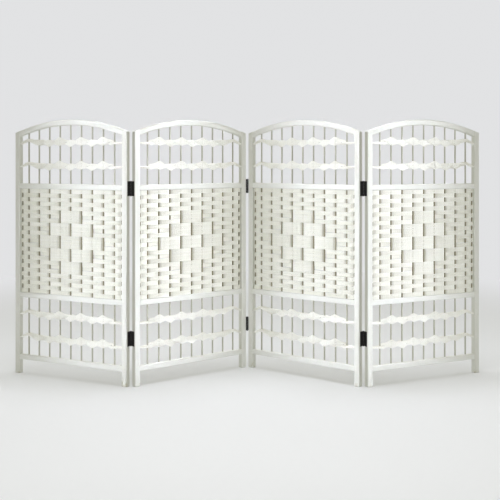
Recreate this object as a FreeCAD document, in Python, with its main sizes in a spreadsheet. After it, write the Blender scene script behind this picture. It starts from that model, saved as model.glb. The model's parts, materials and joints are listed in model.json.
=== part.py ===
import FreeCAD, Part
import math
import os

import Sketcher
from FreeCAD import Placement, Rotation, Vector

# Folding screen of four arched panels, hinged edge to edge and standing in a zig-zag.
# Millimetres and degrees. +Z is up, +X runs along the screen and the front faces -Y.
# The origin lies on the floor under the middle of the screen.
# Each panel is drawn flat, left edge at X = 0 and middle of its thickness at Y = 0, then turned into place.

PANELS = (1, 2, 3, 4)

DRIVING = {
    # Frame
    "panel_width": 500,
    "stile_width": 22,
    "stile_depth": 20,
    "stile_rounding": 3,
    "foot_chamfer": 1.8,
    "foot_height": 52,
    "bottom_zone_height": 211,
    "woven_zone_height": 384,
    "top_zone_height": 213,
    "rail_height": 20,
    "rail_depth": 18,
    "rail_rounding": 4,
    "arch_radius": 703,
    "arch_thickness": 20,
    "dowel_radius": 3,
    "dowel_in_stile": 10,
    "dowel_in_rail": 15,
    "dowel_play": 0.05,
    # Rods
    "rod_count": 9,
    "rod_radius": 3,
    "rod_end_gap": 36,
    "rod_seat": 8,
    "rod_play": 0.1,
    "edge_rod_radius": 2,
    "edge_rod_inset": 6,
    "edge_rod_seat": 5,
    # Weave
    "course_count": 25,
    "course_thickness": 3,
    "course_flat": 5,
    "cord_play": 0.4,
    # Twined bands
    "strand_thickness": 3,
    "strand_flat": 4,
    "strand_bay_height": 15,
    "strand_cross_height": 8,
    "strand_cross_flat": 6.5,
    "strand_cross_shift": 5,
    "front_swing": 2.5,
    "front_low_height": 26,
    "front_high_height": 31,
    "back_swing": 2,
    "back_height": 16,
    "start_rise": 9.5,
    "start_height": 11,
    "start_fan_height": 22,
    "end_drop": 4,
    "end_height": 9,
    "tie_drop": 3,
    "tie_height": 6,
    "band_rise": 66,
    "band_drop": 23,
    "band_step": 86,
    # Hinges
    "joint_gap": 5,
    "pin_standoff": 2.8,
    "pin_radius": 1.2,
    "pin_play": 0.05,
    "pin_head_radius": 2.1,
    "pin_head_height": 1.2,
    "barrel_radius": 2.5,
    "barrel_play": 0.4,
    "knuckle_count": 5,
    "knuckle_gap": 0.3,
    "leaf_thickness": 1.5,
    "leaf_reach": 18,
    "hinge_height": 52,
    "lower_hinge_height": 167,
    "upper_hinge_height": 694,
    "screw_inset": 10,
    "screw_radius": 1.2,
    "screw_length": 10,
    "screw_head_radius": 2.4,
    "screw_head_height": 1.2,
    "screw_slot_width": 0.7,
    "screw_slot_depth": 0.5,
    "screw_play": 0.05,
    # How far each panel is turned out of line where the screen stands
    "inner_turn": 39,
    "outer_turn": 27,
}

DERIVED = {
    "half_width": "Sizes.panel_width / 2",
    "right_face": "Sizes.panel_width - Sizes.stile_width",
    "opening_width": "Sizes.panel_width - 2 * Sizes.stile_width",
    "bottom_rail_middle": "Sizes.foot_height + Sizes.rail_height / 2",
    "bottom_rail_top": "Sizes.foot_height + Sizes.rail_height",
    "lower_rail_base": "bottom_rail_top + Sizes.bottom_zone_height",
    "lower_rail_middle": "lower_rail_base + Sizes.rail_height / 2",
    "lower_rail_top": "lower_rail_base + Sizes.rail_height",
    "upper_rail_base": "lower_rail_top + Sizes.woven_zone_height",
    "upper_rail_middle": "upper_rail_base + Sizes.rail_height / 2",
    "upper_rail_top": "upper_rail_base + Sizes.rail_height",
    "arch_inner_radius": "Sizes.arch_radius - Sizes.arch_thickness",
    "arch_centre_height": "upper_rail_top + Sizes.top_zone_height - arch_inner_radius",
    "corner_height": "arch_centre_height + sqrt(Sizes.arch_radius ^ 2 - half_width ^ 2)",
    "shoulder_height": "arch_centre_height + sqrt(Sizes.arch_radius ^ 2 - (opening_width / 2) ^ 2)",
    "spring_height": "arch_centre_height + sqrt(arch_inner_radius ^ 2 - (opening_width / 2) ^ 2)",
    "arch_dowel_height": "(shoulder_height + spring_height) / 2",
    "dowel_hole_radius": "Sizes.dowel_radius + Sizes.dowel_play",
    "dowel_hole_in_stile": "Sizes.dowel_in_stile + Sizes.dowel_play",
    "dowel_hole_in_rail": "Sizes.dowel_in_rail + Sizes.dowel_play",
    "dowel_length": "Sizes.dowel_in_stile + Sizes.dowel_in_rail",
    "rod_pitch": "(opening_width - 2 * Sizes.rod_end_gap) / (Sizes.rod_count - 1)",
    "rod_base": "bottom_rail_top - Sizes.rod_seat",
    "rod_hole_radius": "Sizes.rod_radius + Sizes.rod_play",
    "rod_socket_depth": "2 * Sizes.rod_seat",
    "left_edge_rod": "Sizes.stile_width + Sizes.edge_rod_inset",
    "right_edge_rod": "right_face - Sizes.edge_rod_inset",
    "edge_rod_base": "lower_rail_top - Sizes.edge_rod_seat",
    "edge_rod_length": "Sizes.woven_zone_height + 2 * Sizes.edge_rod_seat",
    "edge_rod_hole_radius": "Sizes.edge_rod_radius + Sizes.rod_play",
    "pin_offset": "Sizes.stile_depth / 2 + Sizes.pin_standoff",
    "leaf_setback": "Sizes.barrel_radius + Sizes.barrel_play",
    "knuckle_pitch": "(Sizes.hinge_height + Sizes.knuckle_gap) / Sizes.knuckle_count",
    "pilot_radius": "Sizes.screw_radius + Sizes.screw_play",
    "pilot_depth": "Sizes.screw_length + Sizes.screw_play",
}
HINGE_LEVELS = ("lower", "upper")
for level in HINGE_LEVELS:
    DERIVED[f"{level}_hinge_base"] = f"Sizes.{level}_hinge_height - Sizes.hinge_height / 2"
    DERIVED[f"{level}_hinge_low_screw"] = f"{level}_hinge_base + Sizes.screw_inset"
    DERIVED[f"{level}_hinge_high_screw"] = f"{level}_hinge_base + Sizes.hinge_height - Sizes.screw_inset"
RODS = range(1, DRIVING["rod_count"] + 1)
for rod in RODS:
    DERIVED[f"rod_{rod}_place"] = f"Sizes.stile_width + Sizes.rod_end_gap + {rod - 1} * rod_pitch"
    DERIVED[f"rod_{rod}_under_arch"] = (
        f"arch_centre_height + sqrt(arch_inner_radius ^ 2 - (half_width - rod_{rod}_place) ^ 2)"
    )
    DERIVED[f"rod_{rod}_top"] = f"rod_{rod}_under_arch + Sizes.rod_seat"

RAIL_DOWELS = ("bottom_rail_middle", "lower_rail_middle", "upper_rail_middle", "arch_dowel_height")
SCREW_HEIGHTS = tuple(f"{level}_hinge_{end}_screw" for level in HINGE_LEVELS for end in ("low", "high"))

doc = FreeCAD.newDocument("folding_screen")


def make_sheet(name, cells):
    """Fills a spreadsheet with one aliased row for each value."""
    sheet = doc.addObject("Spreadsheet::Sheet", name)
    for row, (alias, content) in enumerate(cells.items(), start=1):
        sheet.set(f"A{row}", alias)
        sheet.set(f"B{row}", str(content))
        sheet.setAlias(f"B{row}", alias)
    doc.recompute()
    return sheet


SHEETS = {
    "Sizes": make_sheet("Sizes", DRIVING),
    "Derived": make_sheet("Derived", {alias: f"={formula}" for alias, formula in DERIVED.items()}),
}


def sheet_of(alias):
    """Name of the sheet that holds an alias."""
    return "Sizes" if alias in DRIVING else "Derived"


def ref(alias):
    """Expression that reads an alias from its sheet."""
    return f"{sheet_of(alias)}.{alias}"


def size(alias):
    """Present value of an alias."""
    return float(SHEETS[sheet_of(alias)].get(alias))


# Where the panels stand

def panel_placements():
    """Placements of the four panels, chained from pin to pin."""
    pin_side = size("pin_offset")
    right_pin = size("panel_width") + size("joint_gap") / 2
    left_pin = -size("joint_gap") / 2
    turns = {1: -size("outer_turn"), 2: size("inner_turn"), 3: -size("inner_turn"), 4: size("outer_turn")}
    spins = {panel: Rotation(Vector(0, 0, 1), turn) for panel, turn in turns.items()}
    middle_pin = Vector(0, 0, 0)
    bases = {
        2: middle_pin - spins[2] * Vector(right_pin, -pin_side, 0),
        3: middle_pin - spins[3] * Vector(left_pin, -pin_side, 0),
    }
    left_joint = bases[2] + spins[2] * Vector(left_pin, pin_side, 0)
    right_joint = bases[3] + spins[3] * Vector(right_pin, pin_side, 0)
    bases[1] = left_joint - spins[1] * Vector(right_pin, pin_side, 0)
    bases[4] = right_joint - spins[4] * Vector(left_pin, pin_side, 0)
    corners = [
        (bases[panel] + spins[panel] * Vector(across, depth, 0)).y
        for panel in PANELS
        for across in (0, size("panel_width"))
        for depth in (-size("stile_depth") / 2, size("stile_depth") / 2)
    ]
    to_middle = Vector(0, -(min(corners) + max(corners)) / 2, 0)
    return {panel: Placement(bases[panel] + to_middle, spins[panel]) for panel in PANELS}


STANDING = panel_placements()
SUBPARTS = []


def keep(item, panel, label):
    """Names a finished sub-part, stands it in its panel's place and lists it for writing."""
    item.Label = f"panel_{panel}_{label}"
    item.Placement = STANDING[panel]
    SUBPARTS.append(item)


# Sketches and features shared by the frame pieces

LEAST_CUT = 1
ALIGNED = 0.999
TOLERANCE = 1e-6


def new_sketch(body, name, role, offset="0"):
    """Sketch on one of the body's origin planes, moved along its normal by an expression."""
    plane = next(feature for feature in body.Origin.OriginFeatures if feature.Role == role)
    sketch = body.newObject("Sketcher::SketchObject", name)
    sketch.AttachmentSupport = [(plane, "")]
    sketch.MapMode = "FlatFace"
    sketch.setExpression("AttachmentOffset.Base.z", offset)
    return sketch


def dimension(sketch, alias, kind, *where):
    """Dimension of a sketch, bound to an alias."""
    index = sketch.addConstraint(Sketcher.Constraint(kind, *where, size(alias)))
    sketch.setExpression(f"Constraints[{index}]", ref(alias))


def join_ends(sketch, pairs):
    """Joins edge ends, each given as (edge, end, edge, end)."""
    for pair in pairs:
        sketch.addConstraint(Sketcher.Constraint("Coincident", *pair))


def draw_circle(sketch, across, up, radius):
    """Circle at aliased places; a place that is None lies on the sketch's axis."""
    centre = Vector(size(across) if across else 0, size(up) if up else 0, 0)
    edge = sketch.addGeometry(Part.Circle(centre, Vector(0, 0, 1), size(radius)))
    dimension(sketch, radius, "Radius", edge)
    if across:
        dimension(sketch, across, "DistanceX", -1, 1, edge, 3)
    else:
        sketch.addConstraint(Sketcher.Constraint("PointOnObject", edge, 3, -2))
    if up:
        dimension(sketch, up, "DistanceY", -1, 1, edge, 3)
    else:
        sketch.addConstraint(Sketcher.Constraint("PointOnObject", edge, 3, -1))


def draw_arc(sketch, radius, right_end, left_end):
    """Arc about the arch's centre, from its right end to its left end."""
    centre = Vector(size("half_width"), size("arch_centre_height"), 0)
    circle = Part.Circle(centre, Vector(0, 0, 1), size(radius))
    angles = [math.atan2(point.y - centre.y, point.x - centre.x) for point in (right_end, left_end)]
    edge = sketch.addGeometry(Part.ArcOfCircle(circle, *angles))
    dimension(sketch, radius, "Radius", edge)
    return edge


def draw_line(sketch, start, end, direction=None):
    """Line, held horizontal or vertical where a direction is given."""
    edge = sketch.addGeometry(Part.LineSegment(start, end))
    if direction:
        sketch.addConstraint(Sketcher.Constraint(direction, edge))
    return edge


def pad(body, sketch, alias, symmetric=False):
    """Pad of a sketch by an aliased length."""
    feature = body.newObject("PartDesign::Pad", f"{sketch.Name}_pad")
    feature.Profile = sketch
    feature.SideType = "Symmetric" if symmetric else "One side"
    feature.setExpression("Length", ref(alias))
    body.Tip = feature
    doc.recompute()


def drill(body, name, role, face, circles, depth, forward=False):
    """Round holes from a face into the body; forward drills along the plane's normal."""
    before = body.Tip.Shape.Volume
    sketch = new_sketch(body, f"{name}_sketch", role, ref(face) if face else "0")
    for circle in circles:
        draw_circle(sketch, *circle)
    pocket = body.newObject("PartDesign::Pocket", name)
    pocket.Profile = sketch
    pocket.Reversed = forward
    pocket.setExpression("Length", ref(depth))
    body.Tip = pocket
    doc.recompute()
    if pocket.Shape.Volume > before - LEAST_CUT:
        raise RuntimeError(f"{name} cuts nothing")


def dress_edges(body, kind, name, prop, alias, wanted):
    """Fillet or chamfer on the edges that a test picks."""
    base = body.Tip
    picked = [f"Edge{index}" for index, edge in enumerate(base.Shape.Edges, start=1) if wanted(edge)]
    feature = body.newObject(f"PartDesign::{kind}", name)
    feature.Base = (base, picked)
    feature.setExpression(prop, ref(alias))
    body.Tip = feature
    doc.recompute()


def runs_along(edge, axis):
    """True for a straight edge along an axis."""
    return isinstance(edge.Curve, Part.Line) and abs(edge.Curve.Direction.dot(axis)) > ALIGNED


def lies_on_floor(edge):
    """True for an edge at floor level."""
    return edge.BoundBox.ZMax < TOLERANCE


def follows_arch(edge):
    """True for an edge about the arch's centre."""
    return isinstance(edge.Curve, Part.Circle) and edge.Curve.Radius > size("half_width")


# Frame

def make_stile(panel, side):
    """Upright: a square bar with an arched top, a chamfered foot and holes for dowels and screws."""
    name = f"panel_{panel}_{side}_stile"
    on_left = side == "left"
    inner, outer = ("stile_width", None) if on_left else ("right_face", "panel_width")
    right_edge = inner if on_left else outer
    left = 0 if on_left else size("right_face")
    right = left + size("stile_width")
    left_top = size("corner_height") if on_left else size("shoulder_height")
    right_top = size("shoulder_height") if on_left else size("corner_height")
    body = doc.addObject("PartDesign::Body", name)
    sketch = new_sketch(body, f"{name}_outline", "XZ_Plane")
    foot = draw_line(sketch, Vector(left, 0, 0), Vector(right, 0, 0), "Horizontal")
    right_side = draw_line(sketch, Vector(right, 0, 0), Vector(right, right_top, 0), "Vertical")
    top = draw_arc(sketch, "arch_radius", Vector(right, right_top, 0), Vector(left, left_top, 0))
    left_side = draw_line(sketch, Vector(left, left_top, 0), Vector(left, 0, 0), "Vertical")
    join_ends(sketch, ((foot, 2, right_side, 1), (right_side, 2, top, 1), (top, 2, left_side, 1),
                       (left_side, 2, foot, 1)))
    sketch.addConstraint(Sketcher.Constraint("PointOnObject", foot, 1, -1))
    dimension(sketch, "stile_width", "DistanceX", foot, 1, foot, 2)
    dimension(sketch, right_edge, "DistanceX", -1, 1, foot, 2)
    dimension(sketch, "half_width", "DistanceX", -1, 1, top, 3)
    dimension(sketch, "arch_centre_height", "DistanceY", -1, 1, top, 3)
    pad(body, sketch, "stile_depth", symmetric=True)
    dress_edges(body, "Fillet", f"{name}_rounding", "Radius", "stile_rounding",
                lambda edge: runs_along(edge, Vector(0, 0, 1)))
    dress_edges(body, "Chamfer", f"{name}_foot", "Size", "foot_chamfer", lies_on_floor)
    dowels = [(None, height, "dowel_hole_radius") for height in RAIL_DOWELS]
    drill(body, f"{name}_dowel_holes", "YZ_Plane", inner, dowels, "dowel_hole_in_stile", not on_left)
    if (panel, side) not in ((PANELS[0], "left"), (PANELS[-1], "right")):
        pilots = [(None, height, "pilot_radius") for height in SCREW_HEIGHTS]
        drill(body, f"{name}_pilot_holes", "YZ_Plane", outer, pilots, "pilot_depth", on_left)
    keep(body, panel, f"{side}_stile")


def drill_rail_ends(body, name, height):
    """Dowel holes in both ends of a rail."""
    hole = [(None, height, "dowel_hole_radius")]
    drill(body, f"{name}_left_end", "YZ_Plane", "stile_width", hole, "dowel_hole_in_rail", True)
    drill(body, f"{name}_right_end", "YZ_Plane", "right_face", hole, "dowel_hole_in_rail")


def make_rail(panel, level, base):
    """Straight rail between the stiles, with rounded edges and dowel holes in its ends."""
    name = f"panel_{panel}_{level}_rail"
    half_depth = size("rail_depth") / 2
    low = size(base)
    high = low + size("rail_height")
    body = doc.addObject("PartDesign::Body", name)
    sketch = new_sketch(body, f"{name}_section", "YZ_Plane", ref("stile_width"))
    corners = [Vector(-half_depth, low, 0), Vector(half_depth, low, 0),
               Vector(half_depth, high, 0), Vector(-half_depth, high, 0)]
    directions = (None, "Vertical", "Horizontal", "Vertical")
    sides = [draw_line(sketch, corners[i], corners[(i + 1) % 4], directions[i]) for i in range(4)]
    join_ends(sketch, [(sides[i], 2, sides[(i + 1) % 4], 1) for i in range(4)])
    sketch.addConstraint(Sketcher.Constraint("Symmetric", sides[0], 1, sides[0], 2, -2))
    dimension(sketch, "rail_depth", "DistanceX", sides[0], 1, sides[0], 2)
    dimension(sketch, "rail_height", "DistanceY", sides[1], 1, sides[1], 2)
    dimension(sketch, base, "DistanceY", -1, 1, sides[0], 1)
    pad(body, sketch, "opening_width")
    dress_edges(body, "Fillet", f"{name}_rounding", "Radius", "rail_rounding",
                lambda edge: runs_along(edge, Vector(1, 0, 0)))
    drill_rail_ends(body, name, f"{level}_rail_middle")
    return body, name


def make_straight_rails(panel):
    """Bottom, lower and upper rails, drilled for the rods."""
    rods = [(f"rod_{rod}_place", None, "rod_hole_radius") for rod in RODS]
    edge_rods = [(place, None, "edge_rod_hole_radius") for place in ("left_edge_rod", "right_edge_rod")]
    bottom, name = make_rail(panel, "bottom", "foot_height")
    drill(bottom, f"{name}_rod_seats", "XY_Plane", "bottom_rail_top", rods, "rod_seat")
    keep(bottom, panel, "bottom_rail")
    lower, name = make_rail(panel, "lower", "lower_rail_base")
    drill(lower, f"{name}_rod_holes", "XY_Plane", "lower_rail_top", rods, "rail_height")
    drill(lower, f"{name}_edge_rod_seats", "XY_Plane", "lower_rail_top", edge_rods, "edge_rod_seat")
    keep(lower, panel, "lower_rail")
    upper, name = make_rail(panel, "upper", "upper_rail_base")
    drill(upper, f"{name}_rod_holes", "XY_Plane", "upper_rail_top", rods, "rail_height")
    drill(upper, f"{name}_edge_rod_seats", "XY_Plane", "upper_rail_base", edge_rods, "edge_rod_seat", True)
    keep(upper, panel, "upper_rail")


def make_arch_rail(panel):
    """Arched top rail between the stiles, with a blind seat for the top of each rod."""
    name = f"panel_{panel}_arch_rail"
    left, right = size("stile_width"), size("right_face")
    spring, shoulder = size("spring_height"), size("shoulder_height")
    body = doc.addObject("PartDesign::Body", name)
    sketch = new_sketch(body, f"{name}_outline", "XZ_Plane")
    top = draw_arc(sketch, "arch_radius", Vector(right, shoulder, 0), Vector(left, shoulder, 0))
    left_end = draw_line(sketch, Vector(left, shoulder, 0), Vector(left, spring, 0), "Vertical")
    under = draw_arc(sketch, "arch_inner_radius", Vector(right, spring, 0), Vector(left, spring, 0))
    right_end = draw_line(sketch, Vector(right, spring, 0), Vector(right, shoulder, 0), "Vertical")
    join_ends(sketch, ((top, 2, left_end, 1), (left_end, 2, under, 2), (under, 1, right_end, 1),
                       (right_end, 2, top, 1), (top, 3, under, 3)))
    dimension(sketch, "half_width", "DistanceX", -1, 1, top, 3)
    dimension(sketch, "arch_centre_height", "DistanceY", -1, 1, top, 3)
    dimension(sketch, "stile_width", "DistanceX", -1, 1, left_end, 1)
    dimension(sketch, "right_face", "DistanceX", -1, 1, right_end, 1)
    pad(body, sketch, "rail_depth", symmetric=True)
    dress_edges(body, "Fillet", f"{name}_rounding", "Radius", "rail_rounding", follows_arch)
    drill_rail_ends(body, name, "arch_dowel_height")
    for rod in RODS:
        seat = [(f"rod_{rod}_place", None, "rod_hole_radius")]
        drill(body, f"{name}_seat_{rod}", "XY_Plane", f"rod_{rod}_top", seat, "rod_socket_depth")
    keep(body, panel, "arch_rail")


# Round stock

def primitive(kind, name, at, turn=Rotation(), **sizes):
    """Primitive solid whose sizes and place are bound to expressions."""
    item = doc.addObject(f"Part::{kind}", name)
    item.Placement = Placement(Vector(), turn)
    for prop, expression in sizes.items():
        item.setExpression(prop, expression)
    for axis, expression in zip("xyz", at):
        item.setExpression(f"Placement.Base.{axis}", expression)
    return item


def combine(kind, name, **links):
    """Boolean or group of other objects."""
    item = doc.addObject(f"Part::{kind}", name)
    for prop, value in links.items():
        setattr(item, prop, value)
    return item


ALONG_X = Rotation(Vector(0, 1, 0), 90)
AGAINST_X = Rotation(Vector(0, 1, 0), -90)


def make_dowels(panel):
    """Dowels between the rails and the stiles."""
    starts = {"left": "Sizes.stile_width - Sizes.dowel_in_stile",
              "right": "Derived.right_face - Sizes.dowel_in_rail"}
    dowels = [
        primitive("Cylinder", f"panel_{panel}_{side}_dowel_{height}", (start, "0", ref(height)), ALONG_X,
                  Radius="Sizes.dowel_radius", Height="Derived.dowel_length")
        for side, start in starts.items()
        for height in RAIL_DOWELS
    ]
    keep(combine("Compound", f"panel_{panel}_dowels", Links=dowels), panel, "dowels")


def make_rods(panel):
    """Upright rods through the rails, and the two edge rods of the woven zone."""
    rods = [
        primitive("Cylinder", f"panel_{panel}_rod_{rod}",
                  (f"Derived.rod_{rod}_place", "0", "Derived.rod_base"),
                  Radius="Sizes.rod_radius", Height=f"Derived.rod_{rod}_top - Derived.rod_base")
        for rod in RODS
    ]
    rods += [
        primitive("Cylinder", f"panel_{panel}_{place}", (ref(place), "0", "Derived.edge_rod_base"),
                  Radius="Sizes.edge_rod_radius", Height="Derived.edge_rod_length")
        for place in ("left_edge_rod", "right_edge_rod")
    ]
    keep(combine("Compound", f"panel_{panel}_rods", Links=rods), panel, "rods")


# Weave

FIGURE_LEVELS = 5
FIGURE_COURSES = 3
FIGURE_HALF_SPAN = 3


def rod_shows(rod, course):
    """True where a course passes behind a rod.

    The ground is plain weave. A diamond of larger blocks stands in its middle: five levels of three
    courses, in which all three pass the same rods on the same side.
    """
    middle_rod = (size("rod_count") + 1) / 2
    first_course = (size("course_count") + 1 - FIGURE_LEVELS * FIGURE_COURSES) / 2 + 0.5
    level = math.floor((course - first_course) / FIGURE_COURSES)
    if 0 <= level < FIGURE_LEVELS:
        half_span = FIGURE_HALF_SPAN - abs(level - FIGURE_LEVELS // 2)
        if abs(rod - middle_rod) <= half_span:
            return (rod + level) % 2 == 0
    return (rod + course) % 2 == 0


def make_course(course):
    """One flat course of the weave, passing in front of and behind the rods."""
    half = size("course_thickness") / 2
    clear = size("cord_play") + half
    places = [size("left_edge_rod"), *(size(f"rod_{rod}_place") for rod in RODS), size("right_edge_rod")]
    last = len(places) - 1
    path = [Vector(size("stile_width") + size("cord_play"), 0, 0)]
    for rod, place in enumerate(places):
        radius = size("edge_rod_radius") if rod in (0, last) else size("rod_radius")
        depth = (radius + clear) * (1 if rod_shows(rod, course) else -1)
        path.append(Vector(place - size("course_flat"), depth, 0))
        path.append(Vector(place + size("course_flat"), depth, 0))
    path.append(Vector(size("right_face") - size("cord_play"), 0, 0))
    path[0].y, path[-1].y = path[1].y, path[-2].y
    pitch = size("woven_zone_height") / size("course_count")
    low = size("upper_rail_base") - course * pitch + size("cord_play") / 2
    front = [Vector(point.x, point.y - half, low) for point in path]
    back = [Vector(point.x, point.y + half, low) for point in reversed(path)]
    outline = Part.makePolygon(front + back + front[:1])
    return Part.Face(outline).extrude(Vector(0, 0, pitch - size("cord_play")))


def make_weave(panel):
    """Woven middle of a panel."""
    weave = doc.addObject("Part::Feature", f"panel_{panel}_weave")
    courses = range(1, round(size("course_count")) + 1)
    weave.Shape = Part.Compound([make_course(course) for course in courses])
    keep(weave, panel, "weave")


# Twined bands

def strand_fans(turn, turns, in_front):
    """How a strand lies over the two rods of a turn, as (middle height, height) for each rod."""
    if turn == 0:
        return (size("start_rise"), size("start_height")), (0, size("start_fan_height"))
    if turn == turns - 1:
        return ((-size("end_drop"), size("end_height")),) * 2
    if in_front:
        swing = size("front_swing")
        return (-swing, size("front_low_height")), (swing, size("front_high_height"))
    swing = size("back_swing")
    return (swing, size("back_height")), (-swing, size("back_height"))


def strand_stations(strand):
    """Places along one strand of a band as (across, depth, middle height, height).

    The two strands of a band change sides after every second rod, a little nearer the next rod. The strand
    that comes to the front passes under the one that goes to the back. A strand spreads out over the rods,
    most where it is in front of them, and its ends drop a little to the stiles.
    """
    gap = size("cord_play")
    depth = size("rod_radius") + gap + size("strand_thickness") / 2
    side_step = (size("strand_thickness") + gap) / 2
    cross_height = size("strand_cross_height")
    cross_rise = (cross_height + gap) / 2
    flat, cross_flat = size("strand_flat"), size("strand_cross_flat")
    tie = (-size("tie_drop"), size("tie_height"))
    places = [size(f"rod_{rod}_place") for rod in RODS]
    turns = [places[start:start + 2] for start in range(0, len(places), 2)]
    stations = []
    for turn, rods in enumerate(turns):
        toward = -1 if (turn + strand) % 2 == 0 else 1
        fans = strand_fans(turn, len(turns), toward < 0)
        if stations:
            crossed = stations[-1][0] + 2 * cross_flat
            stations.append((crossed, toward * side_step, toward * cross_rise, cross_height))
        else:
            stations.append((size("stile_width") + gap, toward * side_step, *tie))
        for order, (place, (middle, height)) in enumerate(zip(rods, fans)):
            if order:
                bay, bay_middle = (rods[0] + place) / 2, (fans[0][0] + middle) / 2
                stations.append((bay, toward * depth, bay_middle, size("strand_bay_height")))
            stations.append((place - flat, toward * depth, middle, height))
            stations.append((place + flat, toward * depth, middle, height))
        if turn < len(turns) - 1:
            crossing = (rods[-1] + turns[turn + 1][0]) / 2 + size("strand_cross_shift")
            stations.append((crossing - cross_flat, toward * side_step, -toward * cross_rise, cross_height))
    stations.append((size("right_face") - gap, toward * side_step, *tie))
    return stations


def make_strand(strand, level, mirrored):
    """One strand as a solid of flat faces, hung at a level."""
    half = size("strand_thickness") / 2
    sections = []
    for place, depth, middle, height in strand_stations(strand):
        across = size("panel_width") - place if mirrored else place
        low = level + middle - height / 2
        high = low + height
        sections.append([Vector(across, depth - half, low), Vector(across, depth + half, low),
                         Vector(across, depth + half, high), Vector(across, depth - half, high)])
    outlines = [sections[0], sections[-1]]
    for here, there in zip(sections, sections[1:]):
        outlines += [[here[i], here[(i + 1) % 4], there[(i + 1) % 4], there[i]] for i in range(4)]
    skin = Part.Compound([Part.Face(Part.makePolygon(points + points[:1])) for points in outlines])
    skin.sewShape()
    solid = Part.Solid(skin.Shells[0])
    if solid.Volume < 0:
        solid.reverse()
    return solid


def make_bands(panel):
    """Two twined bands in the open zone above the weave and two in the one below it.

    Every second panel has them mirrored.
    """
    mirrored = panel % 2 == 0
    top_band = size("spring_height") - size("band_drop")
    low_band = size("bottom_rail_top") + size("band_rise")
    zones = {"top_bands": (top_band, top_band - size("band_step")),
             "bottom_bands": (low_band, low_band + size("band_step"))}
    for label, levels in zones.items():
        bands = doc.addObject("Part::Feature", f"panel_{panel}_{label}")
        strands = [make_strand(strand, level, mirrored) for level in levels for strand in (0, 1)]
        bands.Shape = Part.Compound(strands)
        keep(bands, panel, label)


# Hinges

# Where the leaf and the pin lie across each edge of a panel
LEAF_FACE = {"left": "-Sizes.leaf_thickness", "right": "Sizes.panel_width + Sizes.leaf_thickness"}
LEAF_LOW_SIDE = {"left": "-Sizes.leaf_thickness", "right": "Sizes.panel_width"}
PIN_ACROSS = {"left": "-Sizes.joint_gap / 2", "right": "Sizes.panel_width + Sizes.joint_gap / 2"}
INWARD = {"left": ALONG_X, "right": AGAINST_X}


def make_leaf(panel, edge, pin_side, level):
    """Hinge leaf on a panel's edge: a plate, its share of the knuckles and countersunk screw holes."""
    name = f"panel_{panel}_{edge}_{level}_leaf"
    leaf_low, leaf_face, pin_x = LEAF_LOW_SIDE[edge], LEAF_FACE[edge], PIN_ACROSS[edge]
    base = f"Derived.{level}_hinge_base"
    if pin_side == "back":
        pin_y, plate_y = "Derived.pin_offset", "Derived.pin_offset - Sizes.leaf_reach"
        tab_y = "Derived.pin_offset - Derived.leaf_setback"
    else:
        pin_y, plate_y = "-Derived.pin_offset", "-Derived.pin_offset + Derived.leaf_setback"
        tab_y = "-Derived.pin_offset"
    metal = [primitive("Box", f"{name}_plate", (leaf_low, plate_y, base), Length="Sizes.leaf_thickness",
                       Width="Sizes.leaf_reach - Derived.leaf_setback", Height="Sizes.hinge_height")]
    first = 0 if edge == "right" else 1
    for knuckle in range(first, round(size("knuckle_count")), 2):
        height = f"{base} + {knuckle} * Derived.knuckle_pitch"
        length = "Derived.knuckle_pitch - Sizes.knuckle_gap"
        metal.append(primitive("Box", f"{name}_tab_{knuckle}", (leaf_low, tab_y, height),
                               Length="Sizes.leaf_thickness", Width="Derived.leaf_setback", Height=length))
        metal.append(primitive("Cylinder", f"{name}_barrel_{knuckle}", (pin_x, pin_y, height),
                               Radius="Sizes.barrel_radius", Height=length))
    holes = [primitive("Cylinder", f"{name}_bore", (pin_x, pin_y, base),
                       Radius="Sizes.pin_radius + Sizes.pin_play", Height="Sizes.hinge_height")]
    for end in ("low", "high"):
        screw_height = f"Derived.{level}_hinge_{end}_screw"
        mouth = (leaf_face, "0", screw_height)
        holes.append(primitive("Cylinder", f"{name}_{end}_hole", mouth, INWARD[edge],
                               Radius="Derived.pilot_radius", Height="Sizes.leaf_thickness"))
        holes.append(primitive("Cone", f"{name}_{end}_sink", mouth, INWARD[edge],
                               Radius1="Sizes.screw_head_radius + Sizes.screw_play",
                               Radius2="Derived.pilot_radius", Height="Sizes.screw_head_height"))
    return combine("Cut", name, Base=combine("MultiFuse", f"{name}_metal", Shapes=metal),
                   Tool=combine("MultiFuse", f"{name}_holes", Shapes=holes))


def make_leaves(panel, edge, pin_side):
    """Both leaves on one edge of a panel."""
    leaves = [make_leaf(panel, edge, pin_side, level) for level in HINGE_LEVELS]
    keep(combine("Compound", f"panel_{panel}_{edge}_leaves", Links=leaves), panel, f"{edge}_hinge_leaves")


def make_pins(panel, pin_side):
    """Headed pins of the two hinges on a panel's right edge."""
    pin_x = PIN_ACROSS["right"]
    pin_y = "Derived.pin_offset" if pin_side == "back" else "-Derived.pin_offset"
    pins = []
    for level in HINGE_LEVELS:
        name = f"panel_{panel}_{level}_pin"
        base = f"Derived.{level}_hinge_base"
        rounds = [primitive("Cylinder", f"{name}_shank", (pin_x, pin_y, base),
                            Radius="Sizes.pin_radius", Height="Sizes.hinge_height")]
        ends = {"foot": f"{base} - Sizes.pin_head_height", "head": f"{base} + Sizes.hinge_height"}
        for end, height in ends.items():
            rounds.append(primitive("Cylinder", f"{name}_{end}", (pin_x, pin_y, height),
                                    Radius="Sizes.pin_head_radius", Height="Sizes.pin_head_height"))
        pins.append(combine("MultiFuse", name, Shapes=rounds))
    keep(combine("Compound", f"panel_{panel}_pins", Links=pins), panel, "right_hinge_pins")


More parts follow.
